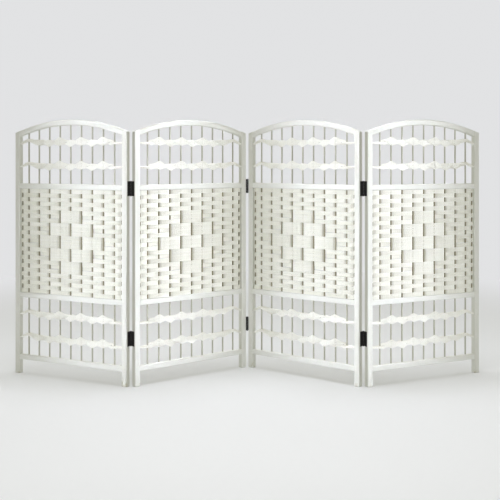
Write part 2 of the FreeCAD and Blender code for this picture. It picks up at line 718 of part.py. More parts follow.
def make_screw(panel, edge, screw_height):
    """Slotted countersunk screw through a leaf into the stile."""
    name = f"panel_{panel}_{edge}_{screw_height}"
    leaf_face = LEAF_FACE[edge]
    height = ref(screw_height)
    top = (leaf_face, "0", height)
    steel = [
        primitive("Cone", f"{name}_head", top, INWARD[edge], Radius1="Sizes.screw_head_radius",
                  Radius2="Sizes.screw_radius", Height="Sizes.screw_head_height"),
        primitive("Cylinder", f"{name}_shank", top, INWARD[edge], Radius="Sizes.screw_radius",
                  Height="Sizes.leaf_thickness + Sizes.screw_length"),
    ]
    slot_x = f"{leaf_face} - Sizes.screw_slot_depth" if edge == "right" else leaf_face
    slot = primitive("Box", f"{name}_slot",
                     (slot_x, "-Sizes.screw_head_radius", f"{height} - Sizes.screw_slot_width / 2"),
                     Length="Sizes.screw_slot_depth", Width="2 * Sizes.screw_head_radius",
                     Height="Sizes.screw_slot_width")
    return combine("Cut", name, Base=combine("MultiFuse", f"{name}_steel", Shapes=steel), Tool=slot)


def make_screws(panel, edges):
    """All hinge screws of a panel."""
    screws = [make_screw(panel, edge, height) for edge in edges for height in SCREW_HEIGHTS]
    keep(combine("Compound", f"panel_{panel}_screws", Links=screws), panel, "hinge_screws")


# The screen. Its outer joints have their pins at the back and its middle joint at the front.

PIN_SIDES = {(1, 2): "back", (2, 3): "front", (3, 4): "back"}

for panel in PANELS:
    for side in ("left", "right"):
        make_stile(panel, side)
    make_arch_rail(panel)
    make_straight_rails(panel)
    make_dowels(panel)
    make_rods(panel)
    make_weave(panel)
    make_bands(panel)
for (left_panel, right_panel), pin_side in PIN_SIDES.items():
    make_leaves(left_panel, "right", pin_side)
    make_leaves(right_panel, "left", pin_side)
    make_pins(left_panel, pin_side)
for panel in PANELS:
    free_panels = {"left": PANELS[0], "right": PANELS[-1]}
    hinged_edges = [edge for edge, free_panel in free_panels.items() if panel != free_panel]
    make_screws(panel, hinged_edges)
doc.recompute()

# Nothing is written unless every object is sound

for item in doc.Objects:
    if "Invalid" in item.State or "Error" in item.State:
        raise RuntimeError(f"{item.Name} failed: {item.State}")
for subpart in SUBPARTS:
    if subpart.Shape.isNull() or not subpart.Shape.isValid():
        raise RuntimeError(f"{subpart.Label} has no valid shape")

os.makedirs("parts", exist_ok=True)
for subpart in SUBPARTS:
    subpart.Shape.exportStep(f"parts/{subpart.Label}.step")
print(f"{len(SUBPARTS)} sub-parts written")
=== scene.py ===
"""Looks of a folding screen: painted frames, paper cord weave and twined bands on four hinged panels.

Metres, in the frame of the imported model: +Z is up, +X runs along the screen and the front faces -Y.
The rods and cords of a panel are drawn flat in the panel's own plane, its left edge at X = 0 and the
middle of its thickness at Y = 0, and are then turned and moved to where the panel's stiles stand.
"""

import json
import logging
import math
from dataclasses import dataclass
from enum import Enum
from typing import Iterable, Sequence

import bpy
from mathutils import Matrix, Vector

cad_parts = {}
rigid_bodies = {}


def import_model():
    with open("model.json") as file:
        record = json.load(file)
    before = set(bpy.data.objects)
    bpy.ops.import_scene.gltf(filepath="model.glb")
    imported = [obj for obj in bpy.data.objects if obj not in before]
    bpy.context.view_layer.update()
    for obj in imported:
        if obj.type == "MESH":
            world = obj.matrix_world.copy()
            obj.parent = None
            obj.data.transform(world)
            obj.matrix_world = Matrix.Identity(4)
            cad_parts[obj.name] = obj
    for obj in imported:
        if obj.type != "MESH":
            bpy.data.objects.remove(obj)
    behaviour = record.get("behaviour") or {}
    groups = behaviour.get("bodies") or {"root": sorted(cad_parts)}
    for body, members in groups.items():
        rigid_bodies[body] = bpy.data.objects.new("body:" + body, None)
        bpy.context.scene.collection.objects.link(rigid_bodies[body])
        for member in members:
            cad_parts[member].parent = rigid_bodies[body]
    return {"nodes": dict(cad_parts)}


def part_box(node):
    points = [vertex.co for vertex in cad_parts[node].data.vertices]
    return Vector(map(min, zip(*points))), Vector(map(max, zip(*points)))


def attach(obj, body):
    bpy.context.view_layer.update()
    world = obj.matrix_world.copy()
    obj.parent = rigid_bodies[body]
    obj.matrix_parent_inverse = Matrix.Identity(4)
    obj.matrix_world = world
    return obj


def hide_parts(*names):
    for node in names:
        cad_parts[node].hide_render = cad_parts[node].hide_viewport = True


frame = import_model()

log = logging.getLogger("folding_screen")

PANELS = (1, 2, 3, 4)
PANEL_PREFIX = "panel_"
FRAME_UPRIGHTS = ("left_stile", "right_stile")
FRAME_RAILS = ("arch_rail", "upper_rail", "lower_rail", "bottom_rail")
ENAMELLED = ("left_hinge_leaves", "right_hinge_leaves", "hinge_screws")
FLOOR = "floor"
MARK_STRETCH = 0.05

Color = tuple[float, float, float]
Triple = tuple[float, float, float]
Material = bpy.types.Material
Outputs = bpy.types.NodeOutputs
Piece = bpy.types.Object
Socket = bpy.types.NodeSocket
Tree = bpy.types.NodeTree
Number = float | Socket
Tint = Color | Socket


class Grain(Enum):
    """Which way the brush went along a piece of the frame."""

    UPRIGHT = "upright"
    ALONG = "along"

    @property
    def stretch(self) -> Triple:
        """Scale that draws the brush marks out along the piece."""
        return (1.0, 1.0, MARK_STRETCH) if self is Grain.UPRIGHT else (MARK_STRETCH, 1.0, 1.0)


class Zone(Enum):
    """The open zones of a panel that hold twined bands."""

    TOP = "top_bands"
    BOTTOM = "bottom_bands"


# Node trees


class Bench:
    """Adds nodes and links to one node tree."""

    def __init__(self, tree: Tree) -> None:
        """Takes the tree that nodes are added to."""
        self.tree = tree

    @classmethod
    def group(cls, name: str, kind: str, inputs: dict[str, str], outputs: dict[str, str]) -> "Bench":
        """Starts a node group with named sockets.

        Args:
            name: Name of the group.
            kind: Tree type of the group.
            inputs: Socket type of each named input.
            outputs: Socket type of each named output.

        Returns:
            A bench on the new group.
        """
        tree = bpy.data.node_groups.new(name, kind)
        for in_out, sockets in (("INPUT", inputs), ("OUTPUT", outputs)):
            for label, socket_type in sockets.items():
                tree.interface.new_socket(label, in_out=in_out, socket_type=socket_type)
        return cls(tree)

    def given(self) -> Outputs:
        """Outputs of a node that hands out the group's inputs."""
        return self.tree.nodes.new("NodeGroupInput").outputs

    def hand_out(self, **values: Socket) -> None:
        """Links sockets to the group's outputs.

        Args:
            values: Socket for each output, by the output's name.
        """
        end = self.tree.nodes.new("NodeGroupOutput")
        for label, socket in values.items():
            self.fill(end.inputs[label], socket)

    def fill(self, target: Socket, value: object) -> None:
        """Links a socket to an input, or sets the input's own value.

        Args:
            target: The input.
            value: Socket or plain value.
        """
        if isinstance(value, Socket):
            self.tree.links.new(value, target)
        else:
            target.default_value = value

    @staticmethod
    def socket(sockets: Iterable[Socket], key: int | str) -> Socket:
        """Finds a socket by its place, its identifier or its name.

        Args:
            sockets: Inputs or outputs of a node.
            key: Place, identifier or name of the socket.

        Returns:
            The socket.
        """
        row = list(sockets)
        if isinstance(key, int):
            return row[key]
        return next((socket for socket in row if socket.identifier == key), None) or next(
            socket for socket in row if socket.name == key
        )

    def add(self, kind: str, inputs: dict | None = None, **settings) -> bpy.types.Node:
        """Adds a node, sets its options and fills its inputs.

        Args:
            kind: Type of the node.
            inputs: Value or linked socket for each input, by place, identifier or name.
            settings: Options of the node.

        Returns:
            The node.
        """
        node = self.tree.nodes.new(kind)
        for option, value in settings.items():
            setattr(node, option, value)
        for key, value in (inputs or {}).items():
            self.fill(self.socket(node.inputs, key), value)
        return node

    def first(self, kind: str, inputs: dict | None = None, **settings) -> Socket:
        """First output of a node that is added as add does it."""
        return self.add(kind, inputs, **settings).outputs[0]

    def math(self, operation: str, *values: Number) -> Socket:
        """Result of a math operation on numbers or sockets."""
        return self.first("ShaderNodeMath", dict(enumerate(values)), operation=operation)

    def vector(self, operation: str, *values: Triple | Socket) -> Socket:
        """Vector that a vector operation on vectors or sockets gives."""
        return self.first("ShaderNodeVectorMath", dict(enumerate(values)), operation=operation)

    def join(self, x: Number = 0.0, y: Number = 0.0, z: Number = 0.0) -> Socket:
        """Vector joined from three numbers or sockets."""
        return self.first("ShaderNodeCombineXYZ", {"X": x, "Y": y, "Z": z})

    def split(self, vector: Socket) -> Outputs:
        """Outputs X, Y and Z of a vector."""
        return self.add("ShaderNodeSeparateXYZ", {0: vector}).outputs

    def ramp(self, value: Socket, low: float, high: float) -> Socket:
        """Smooth step from 0 to 1 as a value goes from low to high."""
        settings = {"Value": value, "From Min": low, "From Max": high}
        return self.add("ShaderNodeMapRange", settings, interpolation_type="SMOOTHSTEP").outputs["Result"]

    def mix(self, amount: Socket, low: Tint, high: Tint) -> Socket:
        """Colour mixed from two, with the amount of the second."""
        parts = {"Factor_Float": amount, "A_Color": rgba(low), "B_Color": rgba(high)}
        return self.add("ShaderNodeMix", parts, data_type="RGBA").outputs[2]

    def noise(self, vector: Socket, scale: Number, detail: float, **more: Number) -> Outputs:
        """Outputs of a noise texture, which changes with a fourth value where W is among its inputs."""
        inputs = {"Vector": vector, "Scale": scale, "Detail": detail, **more}
        dimensions = "4D" if "W" in more else "3D"
        return self.add("ShaderNodeTexNoise", inputs, noise_dimensions=dimensions).outputs

    def position(self) -> Socket:
        """Position of each point of the geometry."""
        return self.first("GeometryNodeInputPosition")

    def stored(self, name: str) -> Socket:
        """Number that the geometry carries under a name."""
        return self.first("GeometryNodeInputNamedAttribute", {"Name": name}, data_type="FLOAT")

    def store(
        self, geometry: Socket, name: str, value: Socket, data_type: str = "FLOAT", domain: str = "POINT"
    ) -> Socket:
        """Geometry that carries a value under a name, one for each element of a domain."""
        inputs = {"Geometry": geometry, "Name": name, "Value": value}
        return self.first("GeometryNodeStoreNamedAttribute", inputs, data_type=data_type, domain=domain)


def rgba(color: Tint) -> tuple[float, ...] | Socket:
    """Colour with an opaque alpha; a socket is passed on as it is."""
    return color if isinstance(color, Socket) else (*color, 1.0)


# Scale of the sway of cords, and how far apart the noise of two cords is read
CORD_SWAY_SCALE = 26.0
CORD_SWAY_APART = 60
# Cords that are stacked lie in three layers, each cord two layers on from the last
STACK_LAYERS = 3
STACK_STEP = 2
# Scale of the bend of rods along each axis, and how thick they are where the noise is 0 and 1
ROD_BEND_SCALE = (60.0, 60.0, 9.0)
ROD_SWELL = (0.93, 1.05)


def start_tree(name: str, inputs: dict[str, str]) -> Bench:
    """Starts a geometry tree with its own inputs and those that every tree here has.

    Args:
        name: Name of the tree.
        inputs: Socket type of each of its own inputs.

    Returns:
        A bench on the tree.
    """
    shared = {
        "Radius": "NodeSocketFloat",
        "Sides": "NodeSocketInt",
        "Unevenness": "NodeSocketFloat",
        "Seed": "NodeSocketInt",
        "Place": "NodeSocketVector",
        "Turn": "NodeSocketFloat",
        "Finish": "NodeSocketMaterial",
    }
    return Bench.group(
        name,
        "GeometryNodeTree",
        {"Paths": "NodeSocketGeometry", **inputs, **shared},
        {"Geometry": "NodeSocketGeometry"},
    )


def make_round(bench: Bench, given: Outputs) -> Socket:
    """Circle that a rod or cord is swept from."""
    return bench.first(
        "GeometryNodeCurvePrimitiveCircle", {"Resolution": given["Sides"], "Radius": given["Radius"]}
    )


def make_sway(bench: Bench, noise: Outputs, reach: Socket) -> Socket:
    """Offset that a noise gives, as far as a vector reaches along each axis."""
    return bench.vector("MULTIPLY", bench.vector("SUBTRACT", noise["Color"], (0.5, 0.5, 0.5)), reach)


def finish_tree(bench: Bench, given: Outputs, geometry: Socket) -> None:
    """Stands a tree's geometry in its panel's place, makes it real and gives it its finish.

    Args:
        bench: Bench on the tree.
        given: The tree's inputs.
        geometry: Geometry in the panel's own plane.
    """
    turn = bench.first("FunctionNodeEulerToRotation", {0: bench.join(z=given["Turn"])})
    smooth = bench.first("GeometryNodeSetShadeSmooth", {"Geometry": geometry})
    placed = bench.first(
        "GeometryNodeTransform", {"Geometry": smooth, "Translation": given["Place"], "Rotation": turn}
    )
    real = bench.first("GeometryNodeRealizeInstances", {"Geometry": placed})
    dressed = bench.first("GeometryNodeSetMaterial", {"Geometry": real, "Material": given["Finish"]})
    bench.hand_out(Geometry=dressed)


def make_bundle_tree() -> Tree:
    """Tree that lays a bundle of round cords along each path of a mesh of edges.

    The paths carry two values at each point: spread, the height between the outermost cords, and stack,
    how far the cords lie apart in depth. The cords keep their length and their round as attributes.

    Returns:
        The tree.
    """
    bench = start_tree("cord_bundle", {"Cords": "NodeSocketInt"})
    given = bench.given()
    curves = bench.first("GeometryNodeMeshToCurve", {"Mesh": given["Paths"]})
    copies = bench.add(
        "GeometryNodeDuplicateElements", {"Geometry": curves, "Amount": given["Cords"]}, domain="SPLINE"
    )
    order = copies.outputs["Duplicate Index"]
    draw = {"ID": bench.first("GeometryNodeInputIndex"), "Seed": given["Seed"]}
    tone = bench.add("FunctionNodeRandomValue", draw, data_type="FLOAT").outputs[1]
    toned = bench.store(copies.outputs[0], "cord_tone", tone, domain="CURVE")
    last = bench.math("MAXIMUM", bench.math("SUBTRACT", given["Cords"], 1), 1)
    rank = bench.math("SUBTRACT", bench.math("DIVIDE", order, last), 0.5)
    height = bench.math("MULTIPLY", rank, bench.stored("spread"))
    stepped = bench.math("MULTIPLY", order, STACK_STEP)
    layer = bench.math("SUBTRACT", bench.math("MODULO", stepped, STACK_LAYERS), STACK_LAYERS // 2)
    depth = bench.math("MULTIPLY", layer, bench.stored("stack"))
    own = bench.math("MULTIPLY", bench.stored("cord_tone"), CORD_SWAY_APART)
    noise = bench.noise(bench.position(), CORD_SWAY_SCALE, detail=1.0, W=own)
    sway = make_sway(bench, noise, bench.join(0.0, given["Unevenness"], given["Unevenness"]))
    offset = bench.vector("ADD", bench.join(0.0, depth, height), sway)
    moved = bench.first("GeometryNodeSetPosition", {"Geometry": toned, "Offset": offset})
    run = bench.add("GeometryNodeSplineParameter").outputs["Length"]
    measured = bench.store(moved, "cord_run", run)
    around = bench.vector("NORMALIZE", bench.position())
    section = bench.store(make_round(bench, given), "cord_round", around, data_type="FLOAT_VECTOR")
    swept = bench.first(
        "GeometryNodeCurveToMesh", {"Curve": measured, "Profile Curve": section, "Fill Caps": True}
    )
    finish_tree(bench, given, swept)
    return bench.tree


def make_rod_tree() -> Tree:
    """Tree that stands a row of slightly uneven rods under an arch.

    Returns:
        The tree.
    """
    lengths = ("First", "Pitch", "Base", "Crown", "Middle", "Arch Radius", "Follow Arch")
    counts = ("Count", "Steps")
    bench = start_tree(
        "rod_row", {**dict.fromkeys(lengths, "NodeSocketFloat"), **dict.fromkeys(counts, "NodeSocketInt")}
    )
    given = bench.given()
    feet = bench.first(
        "GeometryNodeMeshLine",
        {
            "Count": given["Count"],
            "Start Location": bench.join(given["First"], 0.0, given["Base"]),
            "Offset": bench.join(given["Pitch"]),
        },
        mode="OFFSET",
    )
    aside = bench.math("SUBTRACT", bench.split(bench.position())["X"], given["Middle"])
    radius_squared = bench.math("POWER", given["Arch Radius"], 2)
    under = bench.math("SUBTRACT", radius_squared, bench.math("POWER", aside, 2))
    fall = bench.math("SUBTRACT", given["Arch Radius"], bench.math("SQRT", under))
    lost = bench.math("MULTIPLY", fall, given["Follow Arch"])
    length = bench.math("SUBTRACT", bench.math("SUBTRACT", given["Crown"], given["Base"]), lost)
    line = bench.first("GeometryNodeCurvePrimitiveLine", {"End": (0.0, 0.0, 1.0)})
    stepped = bench.first("GeometryNodeResampleCurve", {"Curve": line, "Count": given["Steps"]})
    row = bench.first(
        "GeometryNodeInstanceOnPoints",
        {"Points": feet, "Instance": stepped, "Scale": bench.join(1.0, 1.0, length)},
    )
    rods = bench.first("GeometryNodeRealizeInstances", {"Geometry": row})
    stretched = bench.vector("MULTIPLY", bench.position(), ROD_BEND_SCALE)
    noise = bench.noise(stretched, scale=1.0, detail=1.0, W=given["Seed"])
    sway = make_sway(bench, noise, bench.join(given["Unevenness"], given["Unevenness"], 0.0))
    bent = bench.first("GeometryNodeSetPosition", {"Geometry": rods, "Offset": sway})
    thin, thick = ROD_SWELL
    swell = bench.math("ADD", bench.math("MULTIPLY", noise[0], thick - thin), thin)
    swept = bench.first(
        "GeometryNodeCurveToMesh",
        {"Curve": bent, "Profile Curve": make_round(bench, given), "Scale": swell, "Fill Caps": True},
    )
    finish_tree(bench, given, swept)
    return bench.tree


def grow(name: str, seed_mesh: bpy.types.Mesh, tree: Tree, values: dict) -> Piece:
    """Runs a tree on a mesh and keeps the result as a plain mesh.

    Args:
        name: Name of the new piece.
        seed_mesh: Mesh that the tree starts from.
        tree: The geometry tree.
        values: Value of each of the tree's inputs, by name.

    Returns:
        The piece, without modifiers.
    """
    piece = bpy.data.objects.new(name, seed_mesh)
    bpy.context.scene.collection.objects.link(piece)
    modifier = piece.modifiers.new(tree.name, "NODES")
    modifier.node_group = tree
    for item in tree.interface.items_tree:
        if item.in_out == "INPUT" and item.name in values:
            modifier[item.identifier] = values[item.name]
    grown = bpy.data.meshes.new_from_object(piece.evaluated_get(bpy.context.evaluated_depsgraph_get()))
    piece.modifiers.remove(modifier)
    piece.data = grown
    grown.name = name
    bpy.data.meshes.remove(seed_mesh)
    return piece


# Shader groups

# Noise values where a thick patch of paint starts and is full, and how much it adds to the relief
PATCH_EDGE = (0.35, 0.7)
PATCH_RELIEF = 0.6
# Noise values where a rubbed spot starts and is bare, and how much the lowest end adds to the noise
SPOT_EDGE = (0.66, 0.84)
LOW_END_WEAR = 0.16
# How often fibres change along a cord, what they add to its relief, and where the groove of a ply lies
FIBRE_RUN = 30
FIBRE_RELIEF = 0.8
GROOVE_EDGE = (-0.95, -0.2)


def start_effect(name: str, inputs: dict[str, str], outputs: Sequence[str]) -> Bench:
    """Bench on a new shader group that puts out numbers under the given names."""
    return Bench.group(name, "ShaderNodeTree", inputs, dict.fromkeys(outputs, "NodeSocketFloat"))


def make_brush_group() -> Tree:
    """Group for brushed paint: fine marks along the brush and broad patches of thicker paint.

    Returns:
        The group.
    """
    inputs = {"Vector": "NodeSocketVector", "Marks": "NodeSocketFloat", "Patches": "NodeSocketFloat"}
    bench = start_effect("brushed_coat", inputs, ("Height", "Tone"))
    given = bench.given()
    marks = bench.noise(given["Vector"], given["Marks"], detail=3.0)
    patches = bench.noise(given["Vector"], given["Patches"], detail=2.0)
    tone = bench.ramp(patches[0], *PATCH_EDGE)
    height = bench.math("ADD", marks[0], bench.math("MULTIPLY", tone, PATCH_RELIEF))
    bench.hand_out(Height=height, Tone=tone)
    return bench.tree


def make_handling_group() -> Tree:
    """Group for marks of use: scattered rubbed spots, most of them low down.

    Returns:
        The group.
    """
    inputs = {"Vector": "NodeSocketVector", "Scale": "NodeSocketFloat", "Low": "NodeSocketFloat"}
    bench = start_effect("handling_marks", inputs, ("Mask",))
    given = bench.given()
    spots = bench.noise(given["Vector"], given["Scale"], detail=5.0, Roughness=0.65)
    height = bench.split(given["Vector"])["Z"]
    near_floor = bench.math("SUBTRACT", 1.0, bench.math("DIVIDE", height, given["Low"]))
    lowness = bench.math("MAXIMUM", near_floor, 0.0)
    spread = bench.math("ADD", spots[0], bench.math("MULTIPLY", lowness, LOW_END_WEAR))
    bench.hand_out(Mask=bench.ramp(spread, *SPOT_EDGE))
    return bench.tree


def make_lay_group() -> Tree:
    """Group for twisted paper cord: the lay of its two plies and its paper fibres.

    Returns:
        The group.
    """
    inputs = {"Turns": "NodeSocketFloat", "Fibres": "NodeSocketFloat"}
    bench = start_effect("cord_lay", inputs, ("Height", "Groove", "Fibre"))
    given = bench.given()
    run = bench.add("ShaderNodeAttribute", attribute_name="cord_run").outputs["Fac"]
    around = bench.add("ShaderNodeAttribute", attribute_name="cord_round").outputs["Vector"]
    parts = bench.split(around)
    cosine, sine = parts["X"], parts["Y"]
    twice_cosine = bench.math("SUBTRACT", bench.math("POWER", cosine, 2), bench.math("POWER", sine, 2))
    twice_sine = bench.math("MULTIPLY", bench.math("MULTIPLY", sine, cosine), 2)
    phase = bench.math("MULTIPLY", bench.math("MULTIPLY", run, given["Turns"]), math.tau)
    ply = bench.math(
        "ADD",
        bench.math("MULTIPLY", twice_sine, bench.math("COSINE", phase)),
        bench.math("MULTIPLY", twice_cosine, bench.math("SINE", phase)),
    )
    along = bench.join(bench.math("MULTIPLY", run, FIBRE_RUN), cosine, sine)
    fibre = bench.noise(along, given["Fibres"], detail=3.0)[0]
    height = bench.math("ADD", ply, bench.math("MULTIPLY", fibre, FIBRE_RELIEF))
    # The groove mask marks where painted shade goes between the plies
    groove_shade = bench.math("SUBTRACT", 1.0, bench.ramp(ply, *GROOVE_EDGE))
    bench.hand_out(Height=height, Groove=groove_shade, Fibre=fibre)
    return bench.tree


@dataclass(frozen=True)
class EffectGroups:
    """Shader groups that several finishes share."""

    brush: Tree
    handling: Tree
    lay: Tree

    @classmethod
    def make(cls) -> "EffectGroups":
        """Builds the groups once."""
        return cls(make_brush_group(), make_handling_group(), make_lay_group())


# Finishes

# Height above the floor below which pieces are rubbed more
WEAR_HEIGHT = 0.05


@dataclass(frozen=True)
class Working:
    """Traces that a brush or a tool left: fine marks, patches, their relief, and how dull patches are."""

    marks: float
    patches: float
    relief: float
    depth: float
    dulling: float = 0.0


class Coat:
    """A material under construction: its shader and a bench on its tree."""

    def __init__(self, name: str, effects: EffectGroups | None = None) -> None:
        """Starts a material.

        Args:
            name: Name of the material.
            effects: The shared effects, where the material uses any.
        """
        self.material = bpy.data.materials.new(name)
        self.material.use_nodes = True
        self.bench = Bench(self.material.node_tree)
        self.shader = self.material.node_tree.nodes["Principled BSDF"]
        self.effects = effects

    def set(self, **values: object) -> None:
        """Fills inputs of the shader by name, with underscores for spaces."""
        for key, value in values.items():
            self.bench.fill(self.shader.inputs[key.replace("_", " ")], value)

    def effect(self, group: Tree, **inputs: Number) -> Outputs:
        """Outputs of a shared effect that is placed with its own inputs."""
        return self.bench.add("ShaderNodeGroup", inputs, node_tree=group).outputs

    def place(self) -> Socket:
        """Coordinates of the piece."""
        return self.bench.add("ShaderNodeTexCoord").outputs["Object"]

    def bump(self, height: Socket, strength: float, distance: float) -> None:
        """Gives the surface relief of a depth in metres, of which a share shows."""
        relief = {"Strength": strength, "Distance": distance, "Height": height}
        self.set(Normal=self.bench.first("ShaderNodeBump", relief))

    def work(self, vector: Socket, working: Working, roughness: float) -> Socket:
        """Gives the surface the traces of its working.

        Args:
            vector: Where the traces are read.
            working: The traces.
            roughness: Roughness where the coat is thin.

        Returns:
            Mask of the thick patches.
        """
        brush = self.effect(
            self.effects.brush, Vector=vector, Marks=working.marks, Patches=working.patches
        )
        if working.dulling:
            roughness = self.bench.math("MULTIPLY_ADD", brush["Tone"], working.dulling, roughness)
        self.set(Roughness=roughness)
        self.bump(brush["Height"], working.relief, working.depth)
        return brush["Tone"]

    def rubbed(self, vector: Socket, spots: float) -> Socket:
        """Mask of rubbed spots of a given scale."""
        return self.effect(self.effects.handling, Vector=vector, Scale=spots, Low=WEAR_HEIGHT)["Mask"]


@dataclass(frozen=True)
class PaintFinish:
    """Satin paint, brushed along the wood, with rubbed spots low down."""

    name: str
    color: Color
    thick: Color
    bare: Color
    working: Working
    roughness: float
    spots: float = 38.0

    def material(self, effects: EffectGroups, grain: Grain, turn: float) -> Material:
        """Makes the paint for pieces that run one way.

        Args:
            effects: The shared effects.
            grain: Which way the pieces run.
            turn: Turn of their panel.

        Returns:
            The material.
        """
        name = f"{self.name}_{grain.value}_{round(math.degrees(turn))}".replace("-", "m")
        coat = Coat(name, effects)
        bench = coat.bench
        place = coat.place()
        turned = bench.first("ShaderNodeMapping", {"Vector": place, "Rotation": (0.0, 0.0, -turn)})
        brushed = bench.vector("MULTIPLY", turned, grain.stretch)
        painted = bench.mix(coat.work(brushed, self.working, self.roughness), self.color, self.thick)
        coat.set(Base_Color=bench.mix(coat.rubbed(place, self.spots), painted, self.bare))
        return coat.material


@dataclass(frozen=True)
class RodFinish:
    """Painted rods, clean in the open zones, with painted shade where the weave covers them."""

    name: str
    color: Color
    thick: Color
    weave_shade: Color
    working: Working
    roughness: float

    def material(self, effects: EffectGroups, low: float, high: float) -> Material:
        """Makes the paint of the rods.

        Args:
            effects: The shared effects.
            low: Height where the weave starts.
            high: Height where the weave ends.

        Returns:
            The material.
        """
        coat = Coat(self.name, effects)
        bench = coat.bench
        place = coat.place()
        height = bench.split(place)["Z"]
        above = bench.math("GREATER_THAN", height, low)
        below = bench.math("LESS_THAN", height, high)
        brushed = bench.vector("MULTIPLY", place, Grain.UPRIGHT.stretch)
        painted = bench.mix(coat.work(brushed, self.working, self.roughness), self.color, self.thick)
        # Between the lower and upper rails the rods take a darker colour: painted shade for the recess
        # behind the cords
        coat.set(Base_Color=bench.mix(bench.math("MULTIPLY", above, below), painted, self.weave_shade))
        return coat.material


@dataclass(frozen=True)
class CordFinish:
    """Matt twisted paper cord, each cord a little lighter or darker than the next, with painted shade in
    the grooves of its lay.
    """

    name: str
    light: Color
    dark: Color
    groove_shade: Color
    turns: float
    fibres: float = 5.0
    fibre_share: float = 0.6
    tone_share: float = 0.6
    dark_edge: tuple[float, float] = (0.2, 0.9)
    groove_shade_share: float = 0.55
    roughness: float = 0.68
    fibre_dulling: float = 0.15
    relief: float = 0.55
    depth: float = 0.0003

    def material(self, effects: EffectGroups) -> Material:
        """Makes the cord's material.

        Args:
            effects: The shared effects.

        Returns:
            The material.
        """
        coat = Coat(self.name, effects)
        bench = coat.bench
        tone = bench.add("ShaderNodeAttribute", attribute_name="cord_tone").outputs["Fac"]
        lay = coat.effect(effects.lay, Turns=self.turns, Fibres=self.fibres)
        own = bench.math("MULTIPLY", tone, self.tone_share)
        mixed = bench.math("MULTIPLY_ADD", lay["Fibre"], self.fibre_share, own)
        paper = bench.mix(bench.ramp(mixed, *self.dark_edge), self.light, self.dark)
        groove_shade_amount = bench.math("MULTIPLY", lay["Groove"], self.groove_shade_share)
        # The groove colour is painted shade laid into the grooves between the plies
        coat.set(Base_Color=bench.mix(groove_shade_amount, paper, self.groove_shade))
        coat.set(Roughness=bench.math("MULTIPLY_ADD", lay["Fibre"], self.fibre_dulling, self.roughness))
        coat.bump(lay["Height"], self.relief, self.depth)
        return coat.material


@dataclass(frozen=True)
class MetalFinish:
    """Dark enamelled or bare metal, rubbed brighter here and there."""

    name: str
    color: Color
    bright: Color
    metallic: float
    working: Working
    roughness: float
    spots: float = 420.0

    def material(self, effects: EffectGroups) -> Material:
        """Makes the metal.

        Args:
            effects: The shared effects.

        Returns:
            The material.
        """
        coat = Coat(self.name, effects)
        place = coat.place()
        coat.work(place, self.working, self.roughness)
        coat.set(Base_Color=coat.bench.mix(coat.rubbed(place, self.spots), self.color, self.bright))
        coat.set(Metallic=self.metallic)
        return coat.material


@dataclass(frozen=True)
class BareWoodFinish:
    """Turned hardwood with its grain along the peg."""

    name: str
    early: Color
    late: Color
    working: Working
    roughness: float

    def material(self, effects: EffectGroups) -> Material:
        """Makes the wood.

        Args:
            effects: The shared effects.

        Returns:
            The material.
        """
        coat = Coat(self.name, effects)
        tone = coat.work(coat.place(), self.working, self.roughness)
        coat.set(Base_Color=coat.bench.mix(tone, self.early, self.late))
        return coat.material


BRUSHED = Working(900.0, 60.0, 0.35, 0.0003, 0.1)
POLISHED = Working(2600.0, 160.0, 0.25, 0.00008, 0.14)
LATHE_TURNED = Working(700.0, 240.0, 0.3, 0.0002)

IVORY_PAINT = PaintFinish(
    "ivory_paint", (0.78, 0.785, 0.75), (0.73, 0.735, 0.69), (0.6, 0.58, 0.48), BRUSHED, 0.42
)
# Both rod paint colours are darker than the frame paint; part of that darkness is painted shade standing
# in for the shaded sides of the thin rods. The third colour is painted shade for the recess behind the
# cords in the woven zone.
ROD_PAINT = RodFinish("rod_paint", (0.5, 0.49, 0.42), (0.46, 0.45, 0.38), (0.3, 0.27, 0.18), BRUSHED, 0.5)
# The third colour of each cord is painted shade for the grooves between its plies
WOVEN_CORD = CordFinish("woven_cord", (0.93, 0.93, 0.87), (0.88, 0.88, 0.8), (0.74, 0.73, 0.61), 120.0)
TWINED_CORD = CordFinish("twined_cord", (0.96, 0.96, 0.92), (0.93, 0.93, 0.88), (0.82, 0.81, 0.72), 105.0)
BLACK_ENAMEL = MetalFinish("black_enamel", (0.018, 0.017, 0.016), (0.11, 0.1, 0.09), 0.0, POLISHED, 0.34)
DARK_STEEL = MetalFinish("dark_steel", (0.12, 0.115, 0.11), (0.3, 0.29, 0.28), 1.0, POLISHED, 0.36)
PEG_WOOD = BareWoodFinish("peg_wood", (0.62, 0.45, 0.28), (0.46, 0.31, 0.18), LATHE_TURNED, 0.7)


# Panels


def middle_of(node: str) -> Vector:
    """Middle of a node's box."""
    low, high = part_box(node)
    return (low + high) / 2


@dataclass(frozen=True)
class PanelSizes:
    """Sizes of a panel that its rods and cords are fitted to."""

    width: float = 0.5
    stile_width: float = 0.022
    rod_count: int = 9
    rod_end_gap: float = 0.036
    rod_radius: float = 0.003
    edge_rod_radius: float = 0.002
    edge_rod_inset: float = 0.006
    arch_inner_radius: float = 0.683
    rod_seat: float = 0.008
    edge_rod_seat: float = 0.005

    @property
    def pitch(self) -> float:
        """Distance between rods."""
        return (self.width - 2 * self.stile_width - 2 * self.rod_end_gap) / (self.rod_count - 1)

    @property
    def rods(self) -> list[float]:
        """Places of the rods across the panel."""
        first = self.stile_width + self.rod_end_gap
        return [first + rod * self.pitch for rod in range(self.rod_count)]

    @property
    def edge_rods(self) -> tuple[float, float]:
        """Places of the two edge rods across the panel."""
        inset = self.stile_width + self.edge_rod_inset
        return inset, self.width - inset


